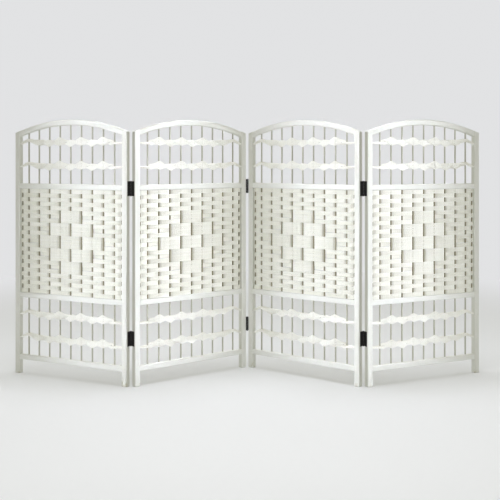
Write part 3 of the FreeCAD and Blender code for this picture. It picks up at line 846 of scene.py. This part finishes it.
@dataclass(frozen=True)
class PanelPlace:
    """Where a panel stands, and the heights of its rails."""

    number: int
    base: Vector
    turn: float

    @classmethod
    def of(cls, number: int, sizes: PanelSizes) -> "PanelPlace":
        """Reads a panel's place from its stiles.

        Args:
            number: Number of the panel.
            sizes: Sizes of a panel.

        Returns:
            The place.
        """
        left, right = (middle_of(f"{PANEL_PREFIX}{number}_{label}") for label in FRAME_UPRIGHTS)
        along = right - left
        base = left - along.normalized() * (sizes.stile_width / 2)
        return cls(number, Vector((base.x, base.y, 0.0)), math.atan2(along.y, along.x))

    @property
    def body(self) -> str:
        """Name of the panel's body."""
        return f"{PANEL_PREFIX}{self.number}"

    def node(self, label: str) -> str:
        """Name of one of the panel's nodes."""
        return f"{self.body}_{label}"

    def low(self, label: str) -> float:
        """Lowest height of one of the panel's nodes."""
        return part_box(self.node(label))[0].z

    def high(self, label: str) -> float:
        """Highest height of one of the panel's nodes."""
        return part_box(self.node(label))[1].z

    def standing(self, finish: Material) -> dict:
        """Tree inputs that stand a piece in this place with a finish."""
        return {"Place": self.base, "Turn": self.turn, "Finish": finish}

    def mount(self, piece: Piece, label: str) -> None:
        """Puts a piece in the place of one of the panel's nodes.

        Args:
            piece: The piece.
            label: Label of the node that it stands for.
        """
        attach(piece, self.body)
        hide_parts(self.node(label))
        log.info("%s: %d faces", piece.name, len(piece.data.polygons))


@dataclass(frozen=True)
class RodRow:
    """The upright rods of a panel and the thinner edge rods of its woven zone."""

    sizes: PanelSizes
    bend: float = 0.0011
    steps: int = 46
    sides: int = 12

    def build(self, place: PanelPlace, tree: Tree, finish: Material) -> None:
        """Builds all rods of a panel as one piece.

        Args:
            place: The panel's place.
            tree: Tree that stands a row of rods.
            finish: Finish of the rods.
        """
        sizes = self.sizes
        common = {
            "Middle": sizes.width / 2,
            "Arch Radius": sizes.arch_inner_radius,
            "Sides": self.sides,
            "Steps": self.steps,
            "Unevenness": self.bend,
            **place.standing(finish),
        }
        left, right = sizes.edge_rods
        crown = place.high("arch_rail") - (place.high("upper_rail") - place.low("upper_rail"))
        rows = (
            {
                "Count": sizes.rod_count,
                "First": sizes.rods[0],
                "Pitch": sizes.pitch,
                "Base": place.high("bottom_rail") - sizes.rod_seat,
                "Crown": crown + sizes.rod_seat,
                "Follow Arch": 1.0,
                "Radius": sizes.rod_radius,
                "Seed": place.number,
            },
            {
                "Count": len(sizes.edge_rods),
                "First": left,
                "Pitch": right - left,
                "Base": place.high("lower_rail") - sizes.edge_rod_seat,
                "Crown": place.low("upper_rail") + sizes.edge_rod_seat,
                "Follow Arch": 0.0,
                "Radius": sizes.edge_rod_radius,
                "Seed": place.number + len(PANELS),
            },
        )
        name = place.node("painted_rods")
        pieces = [
            grow(f"{name}_{index}", bpy.data.meshes.new(name), tree, {**common, **row})
            for index, row in enumerate(rows)
        ]
        with bpy.context.temp_override(active_object=pieces[0], selected_editable_objects=pieces):
            bpy.ops.object.join()
        pieces[0].name = name
        place.mount(pieces[0], "rods")


# Cords


@dataclass(frozen=True)
class PathPoint:
    """A point on the middle line of a cord bundle."""

    across: float
    depth: float
    height: float
    spread: float
    stack: float = 0.0


def eased(share: float, softness: float = 0.5) -> float:
    """Step from 0 to 1, partly straight and partly smooth."""
    return (1 - softness) * share + softness * share * share * (3 - 2 * share)


def path_mesh(name: str, paths: Sequence[Sequence[PathPoint]]) -> bpy.types.Mesh:
    """Mesh of edges along paths, with the spread and stack of each point.

    Args:
        name: Name of the mesh.
        paths: The paths.

    Returns:
        The mesh.
    """
    points = [point for path in paths for point in path]
    edges = []
    start = 0
    for path in paths:
        edges += [(start + step, start + step + 1) for step in range(len(path) - 1)]
        start += len(path)
    mesh = bpy.data.meshes.new(name)
    mesh.from_pydata([(point.across, point.depth, point.height) for point in points], edges, [])
    for label in ("spread", "stack"):
        values = mesh.attributes.new(label, "FLOAT", "POINT")
        values.data.foreach_set("value", [getattr(point, label) for point in points])
    return mesh


@dataclass(frozen=True)
class Bundle:
    """Round cords that lie side by side and run together."""

    cords: int
    radius: float
    unevenness: float
    sides: int
    play: float = 0.0004

    @property
    def spread(self) -> float:
        """Height between the outermost cords when all lie side by side."""
        return 2 * self.radius * (self.cords - 1)

    def lay(
        self,
        name: str,
        paths: Sequence[Sequence[PathPoint]],
        place: PanelPlace,
        tree: Tree,
        finish: Material,
    ) -> Piece:
        """Lays the bundle along paths on a panel.

        Args:
            name: Name of the piece.
            paths: Middle lines in the panel's own plane.
            place: The panel's place.
            tree: Tree that lays cord bundles along paths.
            finish: Finish of the cords.

        Returns:
            The piece.
        """
        values = {
            "Cords": self.cords,
            "Radius": self.radius,
            "Sides": self.sides,
            "Unevenness": self.unevenness,
            "Seed": place.number,
            **place.standing(finish),
        }
        return grow(name, path_mesh(name, paths), tree, values)


@dataclass(frozen=True)
class CordWeave:
    """Woven middle of a panel: flat courses of cords, plain weave about a diamond of larger blocks.

    A course stays in front across most of a bay. The dips are the shares of a bay in which it goes behind
    a rod or behind an edge rod.
    """

    sizes: PanelSizes
    bundle: Bundle = Bundle(5, 0.00152, 0.0009, 6)
    course_count: int = 25
    flat: float = 0.0025
    dip: float = 0.13
    end_dip: float = 0.5
    dip_steps: int = 5
    turn_steps: int = 4
    turn_pinch: float = 0.14
    figure_levels: int = 5
    figure_courses: int = 3
    figure_half_span: int = 3

    def rod_shows(self, rod: int, course: int) -> bool:
        """True where a course passes behind a rod.

        Args:
            rod: Number of the rod, counting the left edge rod as 0.
            course: Number of the course from the top.

        Returns:
            Whether the rod shows.
        """
        middle_rod = (self.sizes.rod_count + 1) / 2
        first_course = (self.course_count + 1 - self.figure_levels * self.figure_courses) / 2 + 0.5
        level = math.floor((course - first_course) / self.figure_courses)
        if 0 <= level < self.figure_levels:
            half_span = self.figure_half_span - abs(level - self.figure_levels // 2)
            if abs(rod - middle_rod) <= half_span:
                return (rod + level) % 2 == 0
        return (rod + course) % 2 == 0

    def turn_back(
        self, rod: float, outward: int, toward: int, height: float, next_height: float
    ) -> list[PathPoint]:
        """Points from an edge rod's outer side, between two courses, round to the course itself.

        Args:
            rod: Place of the edge rod.
            outward: Direction away from the weave.
            toward: Side of the edge rod that the course passes on.
            height: Height of the course.
            next_height: Height of the course that the cords come from.

        Returns:
            The points, from the outer side inwards.
        """
        reach = self.sizes.edge_rod_radius + self.bundle.radius + self.bundle.play / 2
        points = []
        for step in range(self.turn_steps):
            share = step / self.turn_steps
            angle = math.pi / 2 * share
            points.append(
                PathPoint(
                    rod + outward * reach * math.cos(angle),
                    toward * reach * math.sin(angle),
                    height + (next_height - height) * (1 - eased(share)) / 2,
                    self.bundle.spread * (1 - self.turn_pinch * (1 - share)),
                )
            )
        return points

    def path(self, course: int, top: float, pitch: float) -> list[PathPoint]:
        """Middle line of one course from the left edge to the right.

        Args:
            course: Number of the course from the top.
            top: Height of the top of the weave.
            pitch: Height of a course.

        Returns:
            The points.
        """
        sizes = self.sizes
        left, right = sizes.edge_rods
        places = [left, *sizes.rods, right]
        last = len(places) - 1
        sides = [1 if self.rod_shows(rod, course) else -1 for rod in range(len(places))]
        radii = [sizes.edge_rod_radius, *[sizes.rod_radius] * sizes.rod_count, sizes.edge_rod_radius]
        clear = self.bundle.radius + self.bundle.play
        depths = [side * (radius + clear) for side, radius in zip(sides, radii)]
        flats = [0.0 if rod in (0, last) else self.flat for rod in range(len(places))]
        mates = (course + 1, course - 1) if course % 2 else (course - 1, course + 1)
        levels = [min(max(number, 1), self.course_count) for number in (course, *mates)]
        height, left_height, right_height = (top - (level - 0.5) * pitch for level in levels)
        points = self.turn_back(left, -1, sides[0], height, left_height)
        for rod, place in enumerate(places):
            for edge in (-flats[rod], flats[rod]) if flats[rod] else (0.0,):
                points.append(PathPoint(place + edge, depths[rod], height, self.bundle.spread))
            if rod == last:
                break
            start, end = place + flats[rod], places[rod + 1] - flats[rod + 1]
            dips_late = sides[rod] < sides[rod + 1]
            dip = self.end_dip if rod + dips_late in (0, last) else self.dip
            for step in range(self.dip_steps):
                share = (step if dips_late else step + 1) / self.dip_steps
                across = (1 - dip if dips_late else 0.0) + dip * share
                depth = depths[rod] + (depths[rod + 1] - depths[rod]) * eased(share)
                spot = start + (end - start) * across
                points.append(PathPoint(spot, depth, height, self.bundle.spread))
        return points + self.turn_back(right, 1, sides[-1], height, right_height)[::-1]

    def build(self, place: PanelPlace, tree: Tree, finish: Material) -> None:
        """Builds the weave of a panel.

        Args:
            place: The panel's place.
            tree: Tree that lays cord bundles along paths.
            finish: Finish of the cords.
        """
        top, bottom = place.low("upper_rail"), place.high("lower_rail")
        pitch = (top - bottom) / self.course_count
        paths = [self.path(course, top, pitch) for course in range(1, self.course_count + 1)]
        piece = self.bundle.lay(place.node("cord_weave"), paths, place, tree, finish)
        place.mount(piece, "weave")


@dataclass(frozen=True)
class Fan:
    """How a strand lies over a rod: its middle above the level of its band, and its height."""

    middle: float
    height: float


@dataclass(frozen=True)
class TwinedBands:
    """The two twined bands in one open zone: each a pair of cord bundles that change sides."""

    sizes: PanelSizes
    zone: Zone
    levels: tuple[float, float]
    bundle: Bundle = Bundle(9, 0.00155, 0.0014, 7)
    rod_flat: float = 0.003
    cross_flat: float = 0.0065
    cross_shift: float = 0.005
    front_fans: tuple[Fan, ...] = (Fan(-0.003, 0.026), Fan(0.0035, 0.031))
    back_fans: tuple[Fan, ...] = (Fan(0.002, 0.016), Fan(-0.002, 0.016))
    first_fans: tuple[Fan, ...] = (Fan(0.0095, 0.011), Fan(0.0, 0.022))
    last_fans: tuple[Fan, ...] = (Fan(-0.004, 0.009),)
    bay_height: float = 0.0135
    front_tip: float = 0.012
    back_tip: float = 0.007
    tie_height: float = 0.006
    tie_drop: float = 0.003
    stack: float = 0.0022
    steps: int = 3
    softness: float = 0.3

    def fans(self, turn: int, turns: int, in_front: bool) -> tuple[Fan, ...]:
        """How a strand lies over the rods that it passes in one turn.

        Args:
            turn: Which turn along the band.
            turns: Number of turns.
            in_front: Whether the strand is in front of the rods.

        Returns:
            A fan for each rod.
        """
        if turn == 0:
            return self.first_fans
        if turn == turns - 1:
            return self.last_fans
        return self.front_fans if in_front else self.back_fans

    def stations(self, strand: int) -> list[tuple[float, float, float, float]]:
        """Places along one strand as (across, depth, middle height, height).

        Args:
            strand: Which strand of the band, 0 or 1.

        Returns:
            The places, from the left stile to the right one.
        """
        play = self.bundle.play
        depth = self.sizes.rod_radius + play + self.bundle.radius
        side_step = self.bundle.radius + play / 2
        cross_rise = (self.front_tip + self.back_tip) / 4 + play / 2
        rods = self.sizes.rods
        turns = [rods[start : start + 2] for start in range(0, len(rods), 2)]
        rows = []
        for turn, pair in enumerate(turns):
            in_front = (turn + strand) % 2 == 0
            toward = -1 if in_front else 1
            tip = self.front_tip if in_front else self.back_tip
            fans = self.fans(turn, len(turns), in_front)
            start = rows[-1][0] + 2 * self.cross_flat if rows else 0.0
            rows.append((start, toward * side_step, toward * cross_rise, tip))
            for order, (rod, fan) in enumerate(zip(pair, fans)):
                if order:
                    bay = (rows[-1][0] + rod - self.rod_flat) / 2
                    level = (fans[0].middle + fan.middle) / 2
                    rows.append((bay, toward * depth, level, self.bay_height))
                rows.append((rod - self.rod_flat, toward * depth, fan.middle, fan.height))
                rows.append((rod + self.rod_flat, toward * depth, fan.middle, fan.height))
            if turn < len(turns) - 1:
                crossing = (pair[-1] + turns[turn + 1][0]) / 2 + self.cross_shift
                rows.append((crossing - self.cross_flat, toward * side_step, -toward * cross_rise, tip))
        left = self.sizes.stile_width + play
        rows[0] = (left, rows[0][1], -self.tie_drop, self.tie_height)
        rows.append((self.sizes.width - left, toward * side_step, -self.tie_drop, self.tie_height))
        return rows

    def path(self, strand: int, level: float, mirrored: bool) -> list[PathPoint]:
        """Middle line of one strand.

        Args:
            strand: Which strand of the band, 0 or 1.
            level: Height of the band.
            mirrored: Whether the panel has its bands mirrored.

        Returns:
            The points.
        """
        rows = self.stations(strand)
        points = []
        for here, there in zip(rows, rows[1:]):
            for step in range(self.steps):
                share = step / self.steps
                soft = eased(share, self.softness)
                across = here[0] + (there[0] - here[0]) * share
                points.append((across, *(a + (b - a) * soft for a, b in zip(here[1:], there[1:]))))
        points.append(rows[-1])
        path = []
        for across, depth, middle, height in points:
            spread = height - 2 * self.bundle.radius
            stack = self.stack * max(1 - spread / self.bundle.spread, 0.0)
            depth += math.copysign(stack / 2, depth)
            across = self.sizes.width - across if mirrored else across
            path.append(PathPoint(across, depth, level + middle, spread, stack))
        return path

    def build(self, place: PanelPlace, tree: Tree, finish: Material) -> None:
        """Builds the zone's bands on a panel.

        Args:
            place: The panel's place.
            tree: Tree that lays cord bundles along paths.
            finish: Finish of the cords.
        """
        mirrored = place.number % 2 == 0
        paths = [self.path(strand, level, mirrored) for level in self.levels for strand in (0, 1)]
        piece = self.bundle.lay(place.node(f"twined_{self.zone.value}"), paths, place, tree, finish)
        place.mount(piece, self.zone.value)


BAND_LEVELS = {Zone.TOP: (0.8578, 0.7718), Zone.BOTTOM: (0.138, 0.224)}


# Frames and hinges


def wear(node: str, finish: Material) -> None:
    """Gives a carried-over node one finish.

    Args:
        node: Name of the node.
        finish: The finish.
    """
    mesh = frame["nodes"][node].data
    mesh.materials.clear()
    mesh.materials.append(finish)
    log.info("%s: %s", node, finish.name)


@dataclass(frozen=True)
class FrameWood:
    """The painted stiles and rails of a panel and the pegs in their joints."""

    paint: PaintFinish
    pegs: Material

    def dress(self, place: PanelPlace, effects: EffectGroups) -> None:
        """Gives the frame pieces of a panel their finish.

        Args:
            place: The panel's place.
            effects: The shared effects.
        """
        for grain, labels in ((Grain.UPRIGHT, FRAME_UPRIGHTS), (Grain.ALONG, FRAME_RAILS)):
            paint = self.paint.material(effects, grain, place.turn)
            for label in labels:
                wear(place.node(label), paint)
        wear(place.node("dowels"), self.pegs)


@dataclass(frozen=True)
class HingeMetal:
    """The leaves, pins and screws of the hinges on a panel."""

    enamel: Material
    steel: Material

    def dress(self, place: PanelPlace) -> None:
        """Gives the hinge pieces that a panel has their finish.

        Args:
            place: The panel's place.
        """
        finishes = {**dict.fromkeys(ENAMELLED, self.enamel), "right_hinge_pins": self.steel}
        for label, finish in finishes.items():
            if place.node(label) in frame["nodes"]:
                wear(place.node(label), finish)


# Studio


@dataclass(frozen=True)
class Lamp:
    """A soft rectangular studio lamp, on everything or only on the pieces whose names start a given way.

    With own_shadow, only the pieces that it lights stand in its way.
    """

    name: str
    place: Triple
    aim: Triple
    size: tuple[float, float]
    power: float
    color: Color = (1.0, 1.0, 1.0)
    spread: float = math.pi
    only: str = ""
    own_shadow: bool = False

    def hang(self) -> None:
        """Hangs the lamp and turns it to its aim."""
        data = bpy.data.lights.new(self.name, "AREA")
        data.shape = "RECTANGLE"
        data.size, data.size_y = self.size
        data.energy = self.power
        data.color = self.color
        data.spread = self.spread
        stand = bpy.data.objects.new(self.name, data)
        stand.location = self.place
        stand.rotation_euler = (Vector(self.aim) - Vector(self.place)).to_track_quat("-Z", "Y").to_euler()
        stand.visible_camera = False
        bpy.context.scene.collection.objects.link(stand)
        if self.only:
            lit = bpy.data.collections.new(f"{self.name}_lit")
            for piece in bpy.data.objects:
                if piece.type == "MESH" and piece.name.startswith(self.only):
                    lit.objects.link(piece)
            stand.light_linking.receiver_collection = lit
            if self.own_shadow:
                stand.light_linking.blocker_collection = lit


@dataclass(frozen=True)
class PanelLight:
    """How each panel's own lamp hangs: aimed by the panel's near edge, from the side of its far edge."""

    aim_inset: float = 0.1
    aim_height: float = 0.69
    slant: float = math.radians(28.0)
    distance: float = 3.6
    rise: float = 1.7
    size: tuple[float, float] = (0.2, 1.4)
    power: float = 1.74
    color: Color = (0.95, 0.985, 1.12)
    spread: float = math.radians(11.5)

    def lamp(self, place: PanelPlace, sizes: PanelSizes) -> Lamp:
        """The lamp of one panel.

        Args:
            place: The panel's place.
            sizes: Sizes of a panel.

        Returns:
            The lamp.
        """
        along = Vector((math.cos(place.turn), math.sin(place.turn), 0.0))
        front = Vector((along.y, -along.x, 0.0))
        leads_back = along.y > 0
        inset = self.aim_inset if leads_back else sizes.width - self.aim_inset
        to_far_edge = along if leads_back else -along
        aim = place.base + along * inset + Vector((0.0, 0.0, self.aim_height))
        way = front * math.cos(self.slant) + to_far_edge * math.sin(self.slant)
        spot = aim + way * self.distance + Vector((0.0, 0.0, self.rise))
        return Lamp(
            place.node("lamp"),
            spot,
            aim,
            self.size,
            self.power,
            self.color,
            self.spread,
            only=place.node(""),
            own_shadow=True,
        )


LAMPS = (
    Lamp("left_front_lamp", (-0.41, -1.45, 1.05), (-0.41, -0.15, 0.6), (0.5, 0.5), 1.5),
    Lamp("right_front_lamp", (0.41, -1.45, 1.05), (0.41, -0.15, 0.6), (0.5, 0.5), 1.5),
    Lamp(
        "back_lamp",
        (0.0, 3.6, 2.2),
        (0.0, 0.0, 0.45),
        (2.4, 1.6),
        95.0,
        (0.97, 0.98, 1.06),
        only=PANEL_PREFIX,
    ),
    Lamp(
        "floor_lamp",
        (0.0, -0.4, 4.5),
        (0.0, 0.0, 0.0),
        (3.0, 3.0),
        145.0,
        (0.96, 0.98, 1.08),
        only=FLOOR,
    ),
)


@dataclass(frozen=True)
class Studio:
    """Pale floor and background, soft lamps and the camera."""

    lamps: tuple[Lamp, ...]
    backdrop: Color = (0.76, 0.765, 0.775)
    floor_color: Color = (0.8, 0.805, 0.815)
    floor_radius: float = 9.0
    floor_corners: int = 96
    floor_roughness: float = 0.9
    speckle_scale: float = 3.0
    speckle_share: float = 0.15
    fade_start: float = 1.3
    fade_end: float = 3.2
    ambient: float = 0.33
    ambient_color: Color = (1.0, 0.975, 0.71)
    camera_place: Triple = (0.0, -3.457, 0.805)
    camera_lens: float = 67.8
    camera_shift: tuple[float, float] = (0.0056, -0.186)

    def light_world(self) -> None:
        """Lights the scene from all round and shows a pale background."""
        world = bpy.data.worlds.new("studio")
        world.use_nodes = True
        bench = Bench(world.node_tree)
        world.node_tree.nodes.clear()
        light = bench.first(
            "ShaderNodeBackground", {"Color": rgba(self.ambient_color), "Strength": self.ambient}
        )
        shown = bench.first("ShaderNodeBackground", {"Color": rgba(self.backdrop), "Strength": 1.0})
        mixed = bench.first("ShaderNodeMixShader", {0: self.seen(bench), 1: light, 2: shown})
        bench.add("ShaderNodeOutputWorld", {"Surface": mixed})
        bpy.context.scene.world = world

    def seen(self, bench: Bench) -> Socket:
        """Mask of rays that show the background, for the tree of a bench."""
        path = bench.add("ShaderNodeLightPath").outputs
        shiny = bench.math("MAXIMUM", path["Is Glossy Ray"], path["Is Transmission Ray"])
        return bench.math("MAXIMUM", path["Is Camera Ray"], shiny)

    def lay_floor(self) -> None:
        """Lays a round floor that keeps shadows near the screen and fades into the background."""
        mesh = bpy.data.meshes.new(FLOOR)
        corners = range(self.floor_corners)
        turns = [math.tau * corner / self.floor_corners for corner in corners]
        radius = self.floor_radius
        ring = [(math.cos(turn) * radius, math.sin(turn) * radius, 0.0) for turn in turns]
        mesh.from_pydata(ring, [], [tuple(corners)])
        floor = bpy.data.objects.new(FLOOR, mesh)
        bpy.context.scene.collection.objects.link(floor)
        coat = Coat("pale_floor")
        bench = coat.bench
        place = coat.place()
        away = bench.add("ShaderNodeVectorMath", {0: place}, operation="LENGTH").outputs["Value"]
        fade = bench.ramp(away, self.fade_start, self.fade_end)
        speckle = bench.noise(place, self.speckle_scale, detail=2.0)[0]
        tone = bench.math("MULTIPLY", speckle, self.speckle_share)
        coat.set(Base_Color=bench.mix(tone, self.floor_color, self.backdrop))
        coat.set(Roughness=self.floor_roughness)
        shown = bench.first("ShaderNodeEmission", {"Color": rgba(self.backdrop), "Strength": 1.0})
        hidden = bench.math("MULTIPLY", fade, self.seen(bench))
        mixed = bench.first("ShaderNodeMixShader", {0: hidden, 1: coat.shader.outputs[0], 2: shown})
        bench.fill(bench.tree.nodes["Material Output"].inputs["Surface"], mixed)
        mesh.materials.append(coat.material)

    def set_camera(self) -> None:
        """Sets the camera level in front of the screen."""
        data = bpy.data.cameras.new("front_camera")
        data.lens = self.camera_lens
        data.shift_x, data.shift_y = self.camera_shift
        camera = bpy.data.objects.new("front_camera", data)
        camera.location = self.camera_place
        camera.rotation_euler = (math.pi / 2, 0.0, 0.0)
        bpy.context.scene.collection.objects.link(camera)
        bpy.context.scene.camera = camera

    def build(self) -> None:
        """Builds the whole studio."""
        bpy.context.scene.view_settings.view_transform = "Standard"
        self.light_world()
        self.lay_floor()
        for lamp in self.lamps:
            lamp.hang()
        self.set_camera()


def main() -> None:
    """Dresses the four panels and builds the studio."""
    logging.basicConfig(level=logging.INFO, format="%(name)s: %(message)s")
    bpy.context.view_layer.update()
    effects = EffectGroups.make()
    bundle_tree = make_bundle_tree()
    rod_tree = make_rod_tree()
    woven = WOVEN_CORD.material(effects)
    twined = TWINED_CORD.material(effects)
    wood = FrameWood(IVORY_PAINT, PEG_WOOD.material(effects))
    hinges = HingeMetal(BLACK_ENAMEL.material(effects), DARK_STEEL.material(effects))
    sizes = PanelSizes()
    places = [PanelPlace.of(number, sizes) for number in PANELS]
    rod_paint = ROD_PAINT.material(effects, places[0].high("lower_rail"), places[0].low("upper_rail"))
    rods = RodRow(sizes)
    weave = CordWeave(sizes)
    bands = [TwinedBands(sizes, zone, levels) for zone, levels in BAND_LEVELS.items()]
    for place in places:
        wood.dress(place, effects)
        hinges.dress(place)
        rods.build(place, rod_tree, rod_paint)
        weave.build(place, bundle_tree, woven)
        for band in bands:
            band.build(place, bundle_tree, twined)
    panel_lamps = [PanelLight().lamp(place, sizes) for place in places]
    Studio((*panel_lamps, *LAMPS)).build()


if __name__ == "__main__":
    main()
